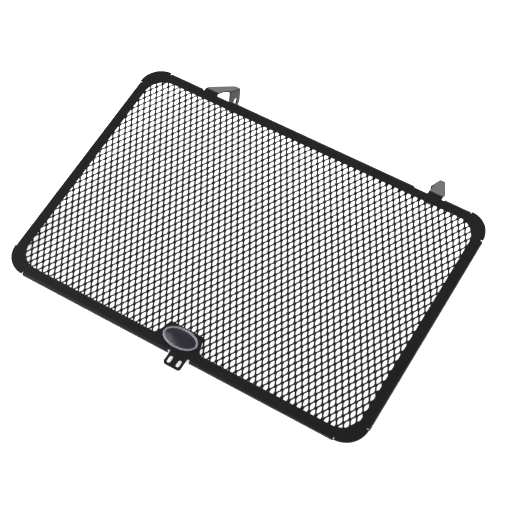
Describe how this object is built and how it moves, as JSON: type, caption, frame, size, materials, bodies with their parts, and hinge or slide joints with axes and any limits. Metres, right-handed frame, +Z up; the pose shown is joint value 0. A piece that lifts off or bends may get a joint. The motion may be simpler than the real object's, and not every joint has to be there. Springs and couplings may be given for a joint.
{
  "type": "oil cooler guard",
  "caption": "Rectangular grille guard with round corners: folded sheet frame round a diamond mesh, bent slotted brackets above, a slotted tab below and an oval badge.",
  "frame": {"origin": "on the surface the guard lies on, under the middle of the space it covers", "axes": "+X to the guard's right as its front face is seen with the tab at the bottom, +Y from its bottom edge towards its top edge and its brackets, +Z up, the side the front face looks to; the top edge is raised by 8.53 degrees"},
  "size_m": [0.336, 0.2694, 0.0382],
  "materials": {
    "frame_coat": "satin black powder coat over aluminium sheet",
    "mesh_coat": "satin black powder coat over expanded aluminium",
    "badge": "glossy dome with a bright rim"
  },
  "bodies": {
    "root": {"frame": "frame_coat", "mesh": "mesh_coat", "badge": "badge"}
  },
  "joints": []
}
